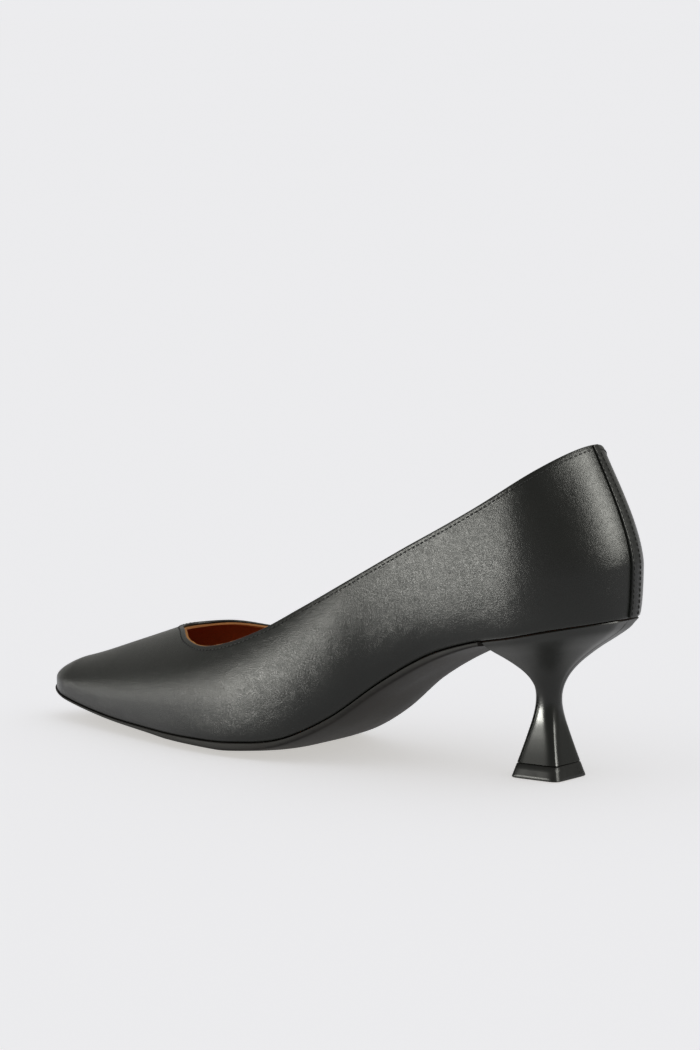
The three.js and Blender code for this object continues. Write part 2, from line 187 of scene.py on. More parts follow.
def from_table(columns, rows, name, at):
    """Value of one column, by a cubic through the table's rows."""
    data = np.array(rows, float)
    xs = data[:, 0]
    ys = data[:, columns.index(name)]
    step = np.diff(xs)
    rate = np.diff(ys) / step
    slope = np.empty_like(ys)
    slope[0] = rate[0]
    slope[-1] = rate[-1]
    slope[1:-1] = (rate[:-1] * step[1:] + rate[1:] * step[:-1]) / (step[:-1] + step[1:])
    t = np.clip(np.asarray(at, float), xs[0], xs[-1])
    i = np.clip(np.searchsorted(xs, t, side="left") - 1, 0, len(xs) - 2)
    h = step[i]
    s = (t - xs[i]) / h
    s2 = s * s
    s3 = s2 * s
    return ((2 * s3 - 3 * s2 + 1) * ys[i] + (s3 - 2 * s2 + s) * h * slope[i]
            + (3 * s2 - 2 * s3) * ys[i + 1] + (s3 - s2) * h * slope[i + 1])


def last(name, along):
    """Value of the last at a share of its length."""
    return from_table(LAST_COLUMNS, LAST_ROWS, name, along)


def bed(x, y):
    """Height of the bed that upper, insole, outsole and heel share."""
    along = x / LENGTH
    inner = np.where(y < 0, y / (last("inner", along) * BALL_WIDTH), 0.0)
    return (last("seat", along) + last("arch", along) * inner ** 2) * HEEL_HEIGHT


class Ribs:
    """Ribs of the last in plan, from the ridge out to the feather line, on one side or both."""

    def __init__(self, side, along):
        self.side = np.asarray(side)
        self.along = np.asarray(along, float)
        toe = np.maximum(self.along - (1 - TOE_ROUND), 0) / TOE_ROUND
        back = np.maximum(BACK_ROUND - self.along, 0) / BACK_ROUND
        spread = np.sqrt(np.maximum(1 - np.maximum(toe, back) ** 2, 0))
        outer = last("outer", self.along)
        inner = last("inner", self.along)
        middle = np.where(self.along > 0.5, (outer - inner) / 2, 0)
        on_outer = self.side > 0
        edge = np.where(on_outer, outer, -inner)
        x = self.along * LENGTH
        y = (middle + (edge - middle) * spread) * BALL_WIDTH
        hub = np.clip(self.along, BACK_ROUND, 1 - TOE_ROUND)
        self.hub_x = hub * LENGTH
        self.hub_y = -last("ridge", hub) * BALL_WIDTH
        self.width = np.hypot(x - self.hub_x, y - self.hub_y)
        self.go_x = (x - self.hub_x) / self.width
        self.go_y = (y - self.hub_y) / self.width
        swell = np.where(on_outer, last("swell_outer", self.along), last("swell_inner", self.along))
        self.swell = swell * BALL_WIDTH
        self.widest = bed(x, y) + last("belly", self.along) * COLLAR_HEIGHT
        self.power = 2 / last("round", self.along)

    def plan(self, reach):
        """Places in plan at a distance from the ridge."""
        return self.hub_x + self.go_x * reach, self.hub_y + self.go_y * reach


def side_points(ribs, turn, inset):
    """Points of the last's side: turn 0 is the feather line, 1 the widest line, 2 the ridge."""
    turn = np.asarray(turn, float)
    foot = ribs.width - inset
    low = np.clip(turn, 0, 1) * HALF_TURN
    high = np.clip(turn - 1, 0, 1) * HALF_TURN
    arch = np.maximum(np.cos(high), 0) ** ribs.power
    reach = np.where(turn <= 1, foot + ribs.swell * np.sin(low), (foot + ribs.swell) * arch)
    reach = np.where(turn >= 2, 0, reach)
    x, y = ribs.plan(reach)
    foot_x, foot_y = ribs.plan(foot)
    start = bed(foot_x, foot_y)
    crown = last("crown", x / LENGTH) * COLLAR_HEIGHT - inset
    z = np.where(turn <= 1, start + (ribs.widest - start) * (1 - np.cos(low)),
                 ribs.widest + (crown - ribs.widest) * np.sin(high) ** ribs.power)
    return np.stack(np.broadcast_arrays(x, y, z), -1)


def edge_height(side, x):
    """Height of the upper's top edge, in millimetres."""
    outer = from_table(EDGE_COLUMNS, EDGE_ROWS, "outer", x / LENGTH)
    inner = from_table(EDGE_COLUMNS, EDGE_ROWS, "inner", x / LENGTH)
    return np.where(np.asarray(side) > 0, outer, inner) * (HEEL_HEIGHT + COLLAR_HEIGHT)


def find_turn(low, high, test):
    """Halves an interval until it holds the place where test turns true."""
    a = np.array(low, float)
    b = np.array(high, float)
    for _ in range(HALVINGS):
        middle = (a + b) / 2
        over = test(middle)
        b = np.where(over, middle, b)
        a = np.where(over, a, middle)
    return (a + b) / 2


def crown_below_edge(along):
    """Whether the top edge has met the ridge of the last."""
    return last("crown", along) * COLLAR_HEIGHT < edge_height(1, along * LENGTH)


THROAT = float(find_turn(0.7, 0.8, crown_below_edge))


def top_turn(ribs):
    """How far up its rib the upper reaches."""
    low = np.ones_like(ribs.along)

    def over(turn):
        points = side_points(ribs, turn, 0)
        return points[..., 2] > edge_height(ribs.side, points[..., 0])

    return np.where(ribs.along >= THROAT, 2.0, find_turn(low, low + 1, over))


def rib_places(back, side, throat, vamp, toe):
    """Where the ribs stand along the shoe, closer together at the throat and the two ends."""
    near = THROAT - THROAT_ZONE
    return np.concatenate([
        BACK_ROUND * (1 - np.cos(np.arange(back) / back * HALF_TURN)),
        np.linspace(BACK_ROUND, near, side, endpoint=False),
        THROAT - THROAT_ZONE * (1 - np.arange(throat) / throat) ** 2,
        np.linspace(THROAT, 1 - TOE_ROUND, vamp, endpoint=False),
        1 - TOE_ROUND + TOE_ROUND * np.sin(np.arange(toe + 1) / toe * HALF_TURN),
    ])


def heel_outline(count):
    """Angles round the heel and the distance of its top edge at each."""
    def reach_at(angle):
        dx = np.cos(angle)
        dy = np.sin(angle)
        side = np.where(dy < 0, -1, 1)

        def outside(reach):
            x = HEEL_SET + dx * reach
            ribs = Ribs(side, np.maximum(x / LENGTH, 0))
            edge_x, edge_y = ribs.plan(ribs.width - HEEL_INSET)
            past = (x >= edge_x - HEEL_INSET) & (np.abs(dy * reach) > np.abs(edge_y))
            return (x < HEEL_INSET) | past

        found = find_turn(np.zeros_like(angle), np.zeros_like(angle) + SEAT_LIMIT, outside)
        front = np.where(dx > NEARLY, (BREAST - HEEL_SET) / np.maximum(dx, NEARLY), FAR)
        return np.minimum(front, found)

    def behind_breast(angle):
        return reach_at(np.array([angle]))[0] * math.cos(angle) < BREAST - HEEL_SET - TINY

    corner = float(find_turn(0.5, 1.5, behind_breast))
    front = np.linspace(-corner, corner, count // 4, endpoint=False)
    rest = np.linspace(corner, 2 * math.pi - corner, count, endpoint=False)
    rest = rest[np.abs(rest - math.pi) > SEAM_ZONE]
    rest = np.unique(np.round(np.concatenate([rest, math.pi + SEAM_ANGLES]), 9))
    angles = np.concatenate([front, rest])
    return angles, reach_at(angles)


def heel_ring(angles, reach, drop):
    """One section of the heel, at a share of its height below the seat."""
    spread = from_table(HEEL_COLUMNS, HEEL_ROWS, "spread", drop)
    square = from_table(HEEL_COLUMNS, HEEL_ROWS, "square", drop)
    dx = np.cos(angles)
    dy = np.sin(angles)
    half = from_table(HEEL_COLUMNS, HEEL_ROWS, "half", drop) * HEEL_BASE
    plain = half / (np.abs(dx) ** square + np.abs(dy) ** square) ** (1 / square)
    size = spread * reach + (1 - spread) * plain
    lean = 4 * HEEL_LEAN * spread * (1 - spread)
    top = bed(HEEL_SET + dx * reach, dy * reach) - GAP
    slant = max(1 - drop / NECK_DROP, 0) ** 2
    z = HEEL_LEVEL * (1 - drop) + (top - HEEL_LEVEL) * slant
    return np.stack([HEEL_SET + lean + dx * size, dy * size, z], -1)


# Meshes

# Rows of each wall below its widest line
LOW_ROWS = 8

# Which way counts as up at a top edge, and how much its middle counts in the same question
EDGE_UP = np.array([-0.2, 0, 1.0])
INWARD_WEIGHT = 0.01


class Skin:
    """Gathers sheets of points into one smooth mesh, with a material for each sheet."""

    def __init__(self):
        self.points = []
        self.faces = []
        self.slots = []
        self.count = 0

    def sheet(self, grid, material=0, close=False):
        """Adds a grid of points, closed to a ring along its rows where asked."""
        grid = np.asarray(grid, float)
        if close:
            grid = np.concatenate([grid, grid[:, :1]], 1)
        rows, columns = grid.shape[:2]
        at = self.count + np.arange(rows * columns).reshape(rows, columns)
        quads = np.stack([at[:-1, :-1], at[1:, :-1], at[1:, 1:], at[:-1, 1:]], -1).reshape(-1, 4)
        self.points.append(grid.reshape(-1, 3))
        self.faces.extend(quads.tolist())
        self.slots.extend([material] * len(quads))
        self.count += rows * columns

    def build(self, name, materials, sharp=SHARP):
        """Mesh of all the sheets, in metres, with its origin over the middle of the heel."""
        mesh = bpy.data.meshes.new(name)
        points = (np.concatenate(self.points) - [HEEL_SET, 0, 0]) * MM
        mesh.from_pydata(points.tolist(), [], self.faces)
        for material in materials:
            mesh.materials.append(material)
        mesh.polygons.foreach_set("material_index", self.slots)
        work = bmesh.new()
        work.from_mesh(mesh)
        bmesh.ops.remove_doubles(work, verts=work.verts, dist=WELD * MM)
        bmesh.ops.dissolve_degenerate(work, edges=work.edges, dist=SHORTEST_EDGE * MM)
        bmesh.ops.recalc_face_normals(work, faces=work.faces)
        work.to_mesh(mesh)
        work.free()
        mesh.shade_smooth()
        mesh.set_sharp_from_angle(angle=math.radians(sharp))
        return mesh


def place(name, mesh, slot, *nodes):
    """Puts a mesh in the scene, riding on the shoe and standing for its nodes."""
    piece = bpy.data.objects.new(name, mesh)
    bpy.context.scene.collection.objects.link(piece)
    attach(piece, "root")
    if nodes:
        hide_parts(*nodes)
    return piece


def run_length(points):
    """Distance of each point of a row from the first one, along the row."""
    return np.concatenate([[0], np.cumsum(np.linalg.norm(np.diff(points, axis=0), axis=1))])


def points_at(points, length, at):
    """Points of a row at the given distances along it."""
    return np.stack([np.interp(at, length, points[:, k]) for k in range(3)], -1)


def top_edge(pitch):
    """Points of the top edge of the upper, a pitch apart, each with the direction along the edge,
    the direction up out of the leather's edge and the direction out of the leather's face."""
    places = rib_places(*STITCH_RIBS)
    places = places[places <= THROAT + TINY]
    loops = []
    for inset in (0, WALL):
        loop = []
        for side in (1, -1):
            ribs = Ribs(side, places)
            loop.append(side_points(ribs, top_turn(ribs), inset))
        loops.append(np.concatenate([loop[0], loop[1][::-1][1:-1], loop[0][:1]]))
    length = run_length(loops[0])
    count = int(length[-1] / pitch)
    at = np.arange(count) * length[-1] / count
    outer, inner = (points_at(loop, length, at) for loop in loops)
    tangent = np.roll(outer, -1, 0) - np.roll(outer, 1, 0)
    tangent /= np.linalg.norm(tangent, axis=1, keepdims=True)
    normal = outer - inner
    normal -= tangent * np.sum(normal * tangent, 1, keepdims=True)
    normal /= np.linalg.norm(normal, axis=1, keepdims=True)
    up = np.cross(tangent, normal)
    inward = up[:, 2] + np.sum(up * (outer.mean(0) - outer) * INWARD_WEIGHT, 1)
    up *= np.where(inward.mean() > 0, 1, -1)
    return outer, tangent, up, normal


def edge_sheet(start, end, side, profile):
    """Top edge across a wall, from a share of the wall and a height above it for each row."""
    along = np.gradient(start, axis=0)
    along[-1] = [0, -side, 0]
    along[0] = [0, side, 0]
    along /= np.linalg.norm(along, axis=1, keepdims=True)
    across = start - end
    across -= along * np.sum(across * along, 1, keepdims=True)
    across /= np.linalg.norm(across, axis=1, keepdims=True)
    up = np.cross(across, along)
    up *= np.sign(np.sum(up * EDGE_UP, 1, keepdims=True))
    rows = []
    for share, height in profile:
        lift = height(start)[:, None] if callable(height) else height
        rows.append(start + (end - start) * share + up * lift)
    return np.stack(rows, 1)


def shell(skin, places, insets, rows, profile, foot=0.0):
    """Wall between two insets: outside, inside, foot and a shaped top edge."""
    open_count = int(np.sum(places <= THROAT + TINY))
    for side in (1, -1):
        top = top_turn(Ribs(side, places))
        column = Ribs(side, places[:, None])
        faces = []
        for inset, count in zip(insets, rows):
            low = np.linspace(foot, 1, LOW_ROWS + 1)[:-1]
            high = 1 + (top[:, None] - 1) * np.linspace(0, 1, count + 1)
            turns = np.concatenate([np.repeat(low[None], len(places), 0), high], 1)
            faces.append(side_points(column, turns, inset))
        outside, inside = faces
        skin.sheet(outside)
        skin.sheet(inside)
        skin.sheet(np.stack([inside[:, 0], outside[:, 0]], 1))
        skin.sheet(edge_sheet(outside[:open_count, -1], inside[:open_count, -1], side, profile))


def cut_edge_band(skin, insets, profile):
    """Cut edge of the lining, as a band a little taller than the lining itself."""
    places = rib_places(*CUT_EDGE_RIBS)
    places = places[places <= THROAT + TINY]
    for side in (1, -1):
        ribs = Ribs(side, places)
        top = top_turn(ribs)
        start, end = (side_points(ribs, top, inset) for inset in insets)
        skin.sheet(edge_sheet(start, end, side, profile))


# Materials

def new_group(name, inputs, outputs):
    group = bpy.data.node_groups.new(name, "ShaderNodeTree")
    for label, kind, default in inputs:
        socket = group.interface.new_socket(label, in_out="INPUT", socket_type=kind)
        socket.default_value = default
    for label, kind in outputs:
        group.interface.new_socket(label, in_out="OUTPUT", socket_type=kind)
    start = group.nodes.new("NodeGroupInput")
    end = group.nodes.new("NodeGroupOutput")
    return group, start, end


def add(tree, kind, **values):
    """New node with settings, and with inputs given by their position as i0, i1 and so on."""
    node = tree.nodes.new(kind)
    for key, value in values.items():
        if key[0] == "i" and key[1:].isdigit():
            node.inputs[int(key[1:])].default_value = value
        else:
            setattr(node, key, value)
    return node


def grain_group():
    """Leather grain: cells with fine creases between them, and slow changes of tone and gloss."""
    name = "Leather grain"
    if name in bpy.data.node_groups:
        return bpy.data.node_groups[name]
    group, start, end = new_group(
        name,
        [("Cells", "NodeSocketFloat", 1500.0), ("Creases", "NodeSocketFloat", 0.6),
         ("Dark", "NodeSocketColor", (0.02, 0.02, 0.02, 1)), ("Light", "NodeSocketColor", (0.04, 0.04, 0.04, 1)),
         ("Gloss low", "NodeSocketFloat", 0.35), ("Gloss high", "NodeSocketFloat", 0.5)],
        [("Color", "NodeSocketColor"), ("Roughness", "NodeSocketFloat"), ("Height", "NodeSocketFloat")])
    links = group.links
    place_at = add(group, "ShaderNodeTexCoord")
    warp = add(group, "ShaderNodeTexNoise", i2=260.0, i3=2.0)
    mix = add(group, "ShaderNodeMix", data_type="VECTOR", i0=0.0025)
    links.new(place_at.outputs["Object"], warp.inputs["Vector"])
    links.new(place_at.outputs["Object"], mix.inputs[4])
    links.new(warp.outputs["Color"], mix.inputs[5])
    cells = add(group, "ShaderNodeTexVoronoi", feature="DISTANCE_TO_EDGE")
    links.new(mix.outputs[1], cells.inputs["Vector"])
    links.new(start.outputs["Cells"], cells.inputs["Scale"])
    creases = add(group, "ShaderNodeMapRange", i1=0.0, i2=0.22, i3=0.0, i4=1.0)
    links.new(cells.outputs["Distance"], creases.inputs[0])
    pores = add(group, "ShaderNodeTexNoise", i2=5200.0, i3=2.0)
    links.new(place_at.outputs["Object"], pores.inputs["Vector"])
    weigh = add(group, "ShaderNodeMath", operation="MULTIPLY")
    links.new(creases.outputs[0], weigh.inputs[0])
    links.new(start.outputs["Creases"], weigh.inputs[1])
    height = add(group, "ShaderNodeMath", operation="ADD")
    links.new(weigh.outputs[0], height.inputs[0])
    links.new(pores.outputs[0], height.inputs[1])
    slow = add(group, "ShaderNodeTexNoise", i2=38.0, i3=3.0)
    links.new(place_at.outputs["Object"], slow.inputs["Vector"])
    tone = add(group, "ShaderNodeMath", operation="MULTIPLY_ADD", i1=0.45)
    links.new(creases.outputs[0], tone.inputs[0])
    links.new(slow.outputs[0], tone.inputs[2])
    colour = add(group, "ShaderNodeMix", data_type="RGBA", clamp_factor=True)
    links.new(tone.outputs[0], colour.inputs[0])
    links.new(start.outputs["Dark"], colour.inputs[6])
    links.new(start.outputs["Light"], colour.inputs[7])
    gloss = add(group, "ShaderNodeMix", data_type="FLOAT", clamp_factor=True)
    links.new(slow.outputs[0], gloss.inputs[0])
    links.new(start.outputs["Gloss low"], gloss.inputs[2])
    links.new(start.outputs["Gloss high"], gloss.inputs[3])
    links.new(colour.outputs[2], end.inputs["Color"])
    links.new(gloss.outputs[0], end.inputs["Roughness"])
    links.new(height.outputs[0], end.inputs["Height"])
    return group


def new_material(name):
    material = bpy.data.materials.new(name)
    material.use_nodes = True
    shader = material.node_tree.nodes["Principled BSDF"]
    return material, material.node_tree, shader


def leather(name, dark, light, gloss, cells=2000.0, creases=0.6, bump=0.30, depth=0.00012,
            shine=0.32):
    """Leather with the shared grain."""
    if name in bpy.data.materials:
        return bpy.data.materials[name]
    material, tree, shader = new_material(name)
    grain = add(tree, "ShaderNodeGroup", node_tree=grain_group())
    grain.inputs["Cells"].default_value = cells
    grain.inputs["Creases"].default_value = creases
    grain.inputs["Dark"].default_value = (*dark, 1)
    grain.inputs["Light"].default_value = (*light, 1)
    grain.inputs["Gloss low"].default_value = gloss[0]
    grain.inputs["Gloss high"].default_value = gloss[1]
    bumps = add(tree, "ShaderNodeBump")
    bumps.inputs["Strength"].default_value = bump
    bumps.inputs["Distance"].default_value = depth
    tree.links.new(grain.outputs["Height"], bumps.inputs["Height"])
    tree.links.new(grain.outputs["Color"], shader.inputs["Base Color"])
    tree.links.new(grain.outputs["Roughness"], shader.inputs["Roughness"])
    tree.links.new(bumps.outputs["Normal"], shader.inputs["Normal"])
    shader.inputs["Specular IOR Level"].default_value = shine
    return material


def brushed_group():
    """Brushed marks: fine marks along the shoe, stronger in some patches than in others."""
    name = "Brushed marks"
    if name in bpy.data.node_groups:
        return bpy.data.node_groups[name]
    group, start, end = new_group(
        name,
        [("Marks", "NodeSocketVector", (35.0, 1400.0, 1400.0)),
         ("Dark", "NodeSocketColor", (0.01, 0.01, 0.01, 1)),
         ("Light", "NodeSocketColor", (0.02, 0.02, 0.02, 1)),
         ("Gloss low", "NodeSocketFloat", 0.55), ("Gloss high", "NodeSocketFloat", 0.7)],
        [("Color", "NodeSocketColor"), ("Roughness", "NodeSocketFloat"), ("Height", "NodeSocketFloat")])
    links = group.links
    where = add(group, "ShaderNodeTexCoord")
    stretch = add(group, "ShaderNodeMapping")
    links.new(where.outputs["Object"], stretch.inputs["Vector"])
    links.new(start.outputs["Marks"], stretch.inputs["Scale"])
    marks = add(group, "ShaderNodeTexNoise", i2=1.0, i3=4.0)
    links.new(stretch.outputs["Vector"], marks.inputs["Vector"])
    slow = add(group, "ShaderNodeTexNoise", i2=60.0, i3=3.0)
    links.new(where.outputs["Object"], slow.inputs["Vector"])
    both = add(group, "ShaderNodeMath", operation="MULTIPLY")
    links.new(marks.outputs[0], both.inputs[0])
    links.new(slow.outputs[0], both.inputs[1])
    tone = add(group, "ShaderNodeMapRange", i1=0.15, i2=0.42, i3=0.0, i4=1.0)
    links.new(both.outputs[0], tone.inputs[0])
    colour = add(group, "ShaderNodeMix", data_type="RGBA", clamp_factor=True)
    links.new(tone.outputs[0], colour.inputs[0])
    links.new(start.outputs["Dark"], colour.inputs[6])
    links.new(start.outputs["Light"], colour.inputs[7])
    gloss = add(group, "ShaderNodeMapRange", i1=0.1, i2=0.45)
    links.new(both.outputs[0], gloss.inputs[0])
    links.new(start.outputs["Gloss low"], gloss.inputs[3])
    links.new(start.outputs["Gloss high"], gloss.inputs[4])
    links.new(colour.outputs[2], end.inputs["Color"])
    links.new(gloss.outputs[0], end.inputs["Roughness"])
    links.new(marks.outputs[0], end.inputs["Height"])
    return group


def brushed(name, dark, light, gloss, marks=(35.0, 1400.0, 1400.0)):
    """Sole and tip finish, with its marks to a metre along, across and up the shoe."""
    if name in bpy.data.materials:
        return bpy.data.materials[name]
    material, tree, shader = new_material(name)
    effect = add(tree, "ShaderNodeGroup", node_tree=brushed_group())
    effect.inputs["Marks"].default_value = marks
    effect.inputs["Dark"].default_value = (*dark, 1)
    effect.inputs["Light"].default_value = (*light, 1)
    effect.inputs["Gloss low"].default_value = gloss[0]
    effect.inputs["Gloss high"].default_value = gloss[1]
    bumps = add(tree, "ShaderNodeBump")
    bumps.inputs["Strength"].default_value = 0.12
    bumps.inputs["Distance"].default_value = 0.0001
    tree.links.new(effect.outputs["Height"], bumps.inputs["Height"])
    tree.links.new(effect.outputs["Color"], shader.inputs["Base Color"])
    tree.links.new(effect.outputs["Roughness"], shader.inputs["Roughness"])
    tree.links.new(bumps.outputs["Normal"], shader.inputs["Normal"])
    shader.inputs["Specular IOR Level"].default_value = 0.18
    return material


def heel_finish(name, dark, light, high, low):
    """Heel cover: satin by the seat, glossy in the flare."""
    if name in bpy.data.materials:
        return bpy.data.materials[name]
    material, tree, shader = new_material(name)
    grain = add(tree, "ShaderNodeGroup", node_tree=grain_group())
    grain.inputs["Cells"].default_value = 2200.0
    grain.inputs["Creases"].default_value = 0.3
    grain.inputs["Dark"].default_value = (*dark, 1)
    grain.inputs["Light"].default_value = (*light, 1)
    where = add(tree, "ShaderNodeTexCoord")
    split = add(tree, "ShaderNodeSeparateXYZ")
    tree.links.new(where.outputs["Object"], split.inputs[0])
    up = add(tree, "ShaderNodeMapRange", interpolation_type="SMOOTHSTEP", i1=0.018, i2=0.034, i3=low, i4=high)
    tree.links.new(split.outputs["Z"], up.inputs[0])
    depth = add(tree, "ShaderNodeMapRange", interpolation_type="SMOOTHSTEP", i1=0.018, i2=0.034, i3=0.15, i4=1.0)
    tree.links.new(split.outputs["Z"], depth.inputs[0])
    scaled = add(tree, "ShaderNodeMath", operation="MULTIPLY")
    tree.links.new(grain.outputs["Height"], scaled.inputs[0])
    tree.links.new(depth.outputs[0], scaled.inputs[1])
    bumps = add(tree, "ShaderNodeBump")
    bumps.inputs["Strength"].default_value = 0.10
    bumps.inputs["Distance"].default_value = 0.0001
    tree.links.new(scaled.outputs[0], bumps.inputs["Height"])
    tree.links.new(grain.outputs["Color"], shader.inputs["Base Color"])
    tree.links.new(up.outputs[0], shader.inputs["Roughness"])
    tree.links.new(bumps.outputs["Normal"], shader.inputs["Normal"])
    shader.inputs["Specular IOR Level"].default_value = 0.35
    return material


def plain_floor(name, colour, glow):
    """Pale floor with a faint glow of its own, which keeps the shadow on it soft and warm."""
    material, tree, shader = new_material(name)
    where = add(tree, "ShaderNodeTexCoord")
    slow = add(tree, "ShaderNodeTexNoise", i2=1.4, i3=2.0)
    tree.links.new(where.outputs["Object"], slow.inputs["Vector"])
    ramp = add(tree, "ShaderNodeValToRGB")
    ramp.color_ramp.elements[0].color = (*(c * 0.985 for c in colour), 1)
    ramp.color_ramp.elements[1].color = (*colour, 1)
    tree.links.new(slow.outputs[0], ramp.inputs[0])
    tree.links.new(ramp.outputs[0], shader.inputs["Base Color"])
    shader.inputs["Roughness"].default_value = 1.0
    shader.inputs["Specular IOR Level"].default_value = 0.0
    shader.inputs["Emission Color"].default_value = (*glow, 1)
    shader.inputs["Emission Strength"].default_value = 1.0
    material.cycles.emission_sampling = "NONE"
    return material


# Settings

def colour_setting(name, text, default):
    return FloatVectorProperty(name=name, description=text, subtype="COLOR", size=3, min=0, max=1, default=default)


def size_setting(name, text, default):
    return FloatProperty(name=name, description=text, unit="LENGTH", subtype="DISTANCE", default=default * MM)


class ShoeSizes(bpy.types.PropertyGroup):
    leather_wall: size_setting("Leather", "Thickness of the outer leather", 1.15)
    edge_roll: size_setting("Edge roll", "How far the folded top edge stands up", 0.45)
    stitch_pitch: size_setting("Stitch pitch", "Distance from one stitch to the next", 1.9)
    stitch_length: size_setting("Stitch length", "Length of thread that shows in one stitch", 1.25)
    thread: size_setting("Thread", "Diameter of the thread", 0.56)
    stitch_inset: size_setting("Stitch inset", "Distance of the stitches from the edge", 1.4)


class ShoeColours(bpy.types.PropertyGroup):
    leather_dark: colour_setting("Leather, dark", "Creases of the outer leather", (0.0030, 0.0034, 0.0028))
    leather_light: colour_setting("Leather, light", "Cells of the outer leather", (0.0090, 0.0100, 0.0080))
    thread: colour_setting("Thread", "Stitches", (0.004, 0.004, 0.004))
    lining_dark: colour_setting("Lining, dark", "Creases of the lining", (0.30, 0.075, 0.022))
    lining_light: colour_setting("Lining, light", "Cells of the lining", (0.55, 0.155, 0.05))
    cut_edge: colour_setting("Cut edge", "Raw edge of the lining", (0.92, 0.40, 0.11))
    sole_dark: colour_setting("Sole, dark", "Outsole, dark marks", (0.009, 0.008, 0.007))
    sole_light: colour_setting("Sole, light", "Outsole, light marks", (0.024, 0.021, 0.018))
    tip: colour_setting("Tip", "Tip of the heel", (0.030, 0.030, 0.028))
    floor: colour_setting("Floor", "Floor", (0.754, 0.79, 0.948))
    floor_glow: colour_setting("Floor glow", "Light that the floor gives off", (0.530, 0.515, 0.490))
    backdrop: colour_setting("Backdrop", "Pale backdrop, as the camera sees it", (0.8388, 0.8388, 0.855))
    surroundings: colour_setting("Surroundings", "Even light of the room", (0.41, 0.41, 0.385))
    lamp: colour_setting("Lamps", "Soft lamps", (1.0, 1.0, 0.93))


def sizes():
    return bpy.context.scene.shoe_sizes


def colours():
    return bpy.context.scene.shoe_colours


def black_leather():
    c = colours()
    return leather("Black leather", c.leather_dark, c.leather_light, (0.27, 0.35))


def lining_leather():
    c = colours()
    return leather("Lining leather", c.lining_dark, c.lining_light, (0.55, 0.7), cells=1100.0, bump=0.2)


def cut_edge_leather():
    c = colours()
    dark = tuple(0.6 * v for v in c.cut_edge)
    return leather("Cut lining edge", dark, c.cut_edge, (0.8, 0.9), cells=2600.0, bump=0.4)


# Pieces

class SHOE_OT_add_upper(bpy.types.Operator):
    """Outer leather of the upper with its folded top edge"""
    bl_idname = "shoe.add_upper"
    bl_label = "Add upper"

    def execute(self, context):
        s = sizes()
        thick = s.leather_wall / MM
        roll = s.edge_roll / MM
        edge = [(k / 8, roll * math.sin(math.pi * k / 8) ** 0.7 if 0 < k < 8 else 0.0) for k in range(9)]
        skin = Skin()
        shell(skin, rib_places(*UPPER_RIBS), (0, thick), (40, 16), edge)
        mesh = skin.build("upper_leather", [black_leather()])
        place("upper_leather", mesh, "upper", "upper")
        return {"FINISHED"}


# Distance of the lining from the leather in millimetres, and how far up the wall it starts
LINING_GAP = 0.06
LINING_FOOT = 0.03


class SHOE_OT_add_lining(bpy.types.Operator):
    """Lining of the upper with its cut edge"""
    bl_idname = "shoe.add_lining"
    bl_label = "Add lining"

    def execute(self, context):
        thick = sizes().leather_wall / MM

        def ragged(points):
            x, y = points[:, 0], points[:, 1]
            wave = np.sin(x * 2.9 + y * 1.7) * np.sin(x * 1.3 - y * 2.3)
            near_throat = np.clip((x - 120) / 20, 0, 1)
            return 0.40 + 0.60 * near_throat + 0.14 * wave

        edge = [(0.0, -0.3), (0.05, ragged), (0.5, ragged), (0.95, ragged), (1.07, 0.3), (1.07, -1.4),
                (1.0, -1.5)]
        skin = Skin()
        insets = (thick + LINING_GAP, WALL)
        shell(skin, rib_places(*LINING_RIBS), insets, (10, 24), [(0.0, 0.0), (1.0, 0.0)], LINING_FOOT)
        rim = Skin()
        cut_edge_band(rim, insets, edge)
        mesh = skin.build("upper_lining", [lining_leather()])
        place("upper_lining", mesh, "upper")
        place("lining_edge", rim.build("lining_edge", [cut_edge_leather()]), "upper")
        return {"FINISHED"}



# How far the middle of a stitch stands above the leather, as a share of the thread
THREAD_PROUD = 0.12


def capsule(length, radius, rings=3, sides=6):
    """Points and faces of one stitch, lying along X, flatter than it is wide."""
    points = []
    for k in range(rings * 2 + 2):
        share = k / (rings * 2 + 1)
        angle = share * math.pi
        x = -math.cos(angle) * length / 2
        size = radius * max(math.sin(angle), 0) ** 0.45
        for j in range(sides):
            turn = 2 * math.pi * j / sides
            points.append((x, size * math.cos(turn), 0.8 * size * math.sin(turn)))
    faces = []
    for k in range(rings * 2 + 1):
        for j in range(sides):
            a = k * sides + j
            b = k * sides + (j + 1) % sides
            faces.append((a, b, b + sides, a + sides))
    return points, faces


def stitch_run(name, points, normals, directions, material, slot):
    """One mesh holding a stitch at each point."""
    s = sizes()
    shape, faces = capsule(s.stitch_length, s.thread / 2)
    all_points = []
    all_faces = []
    for at, normal, along in zip(points, normals, directions):
        n = Vector(normal).normalized()
        t = Vector(along).normalized()
        b = n.cross(t).normalized()
        turn = Matrix((t, b, n)).transposed()
        base = len(all_points)
        for point in shape:
            all_points.append(tuple(Vector(at) + turn @ Vector(point)))
        all_faces.extend(tuple(base + i for i in face) for face in faces)
    mesh = bpy.data.meshes.new(name)
    mesh.from_pydata(all_points, [], all_faces)
    mesh.materials.append(material)
    mesh.shade_smooth()
    return place(name, mesh, slot)


def surface_of(name):
    """Tree for finding the nearest point of a piece."""
    mesh = bpy.data.objects[name].data
    points = [vertex.co.copy() for vertex in mesh.vertices]
    return BVHTree.FromPolygons(points, [list(face.vertices) for face in mesh.polygons])


